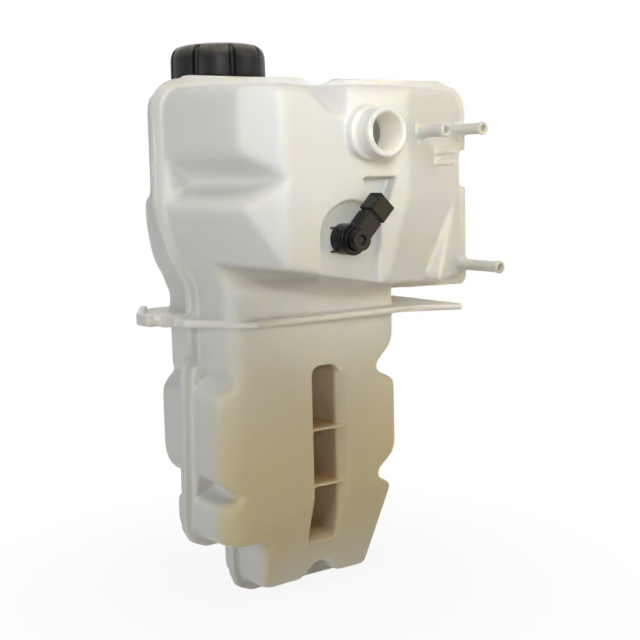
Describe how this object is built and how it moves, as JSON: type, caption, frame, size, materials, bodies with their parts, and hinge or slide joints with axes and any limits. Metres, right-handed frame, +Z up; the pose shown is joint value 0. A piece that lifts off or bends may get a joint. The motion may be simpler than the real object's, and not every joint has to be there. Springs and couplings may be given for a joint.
{
  "type": "coolant expansion tank",
  "caption": "Welded plastic coolant expansion tank for a truck, with a screw cap holding pressure and vacuum valves, hose stubs and a float level sensor.",
  "frame": {"origin": "on the weld plane at the underside of the mounting plate, midway across the leg", "axes": "+Z up, +X to the right along the front, -Y to the front, where the ports and the sensor are"},
  "size_m": [0.386, 0.286, 0.5365],
  "materials": {
    "tank_plastic": "natural, slightly translucent, satin",
    "cap_plastic": "matte moulded",
    "sensor_plastic": "gloss moulded",
    "seal_rubber": "matte",
    "spring_steel": "bright",
    "clip_wire": "blackened",
    "contact_brass": "plated",
    "switch_glass": "clear",
    "float_plastic": "moulded foam"
  },
  "bodies": {
    "tank": {"front_shell": "tank_plastic", "back_shell": "tank_plastic", "sensor_housing": "sensor_plastic", "sensor_oring": "seal_rubber", "sensor_clip": "clip_wire", "terminal_left": "contact_brass", "terminal_right": "contact_brass", "reed_switch": "switch_glass", "float_pin": "spring_steel"},
    "cap_insert": {"valve_housing": "cap_plastic", "housing_oring": "seal_rubber", "neck_gasket": "seal_rubber", "spring_plate": "cap_plastic", "pressure_spring": "spring_steel"},
    "cap": {"cap_grip": "cap_plastic"},
    "pressure_valve": {"pressure_plate": "spring_steel", "pressure_seal": "seal_rubber", "vacuum_spring": "spring_steel"},
    "vacuum_valve": {"vacuum_poppet": "spring_steel", "vacuum_clip": "spring_steel"},
    "float": {"float_arm": "float_plastic", "float_magnet": "spring_steel"}
  },
  "joints": [
    {"name": "cap_rise", "type": "slide", "parent": "tank", "child": "cap_insert", "axis": [0, 0, 1], "range_m": [0, 0.0181]},
    {"name": "cap_turn", "type": "hinge", "parent": "cap_insert", "child": "cap", "pos_m": [-0.037, 0.04, 0.24], "axis": [0, 0, 1], "range_deg": [0, 1080]},
    {"name": "pressure_lift", "type": "slide", "parent": "cap_insert", "child": "pressure_valve", "axis": [0, 0, 1], "range_m": [0, 0.003], "stiffness_N_per_m": 1500, "springref_m": -0.02, "deforming": ["pressure_spring"]},
    {"name": "vacuum_drop", "type": "slide", "parent": "pressure_valve", "child": "vacuum_valve", "axis": [0, 0, -1], "range_m": [0, 0.002], "stiffness_N_per_m": 150, "springref_m": -0.006, "deforming": ["vacuum_spring"]},
    {"name": "float_swing", "type": "hinge", "parent": "tank", "child": "float", "pos_m": [-0.0265, -0.104, 0.0815], "axis": [1, 0, 0], "range_deg": [0, 35]}
  ],
  "couplings": [
    {"joint": "cap_rise", "follows": "cap_turn", "m_per_rad": 0.00095493}
  ]
}
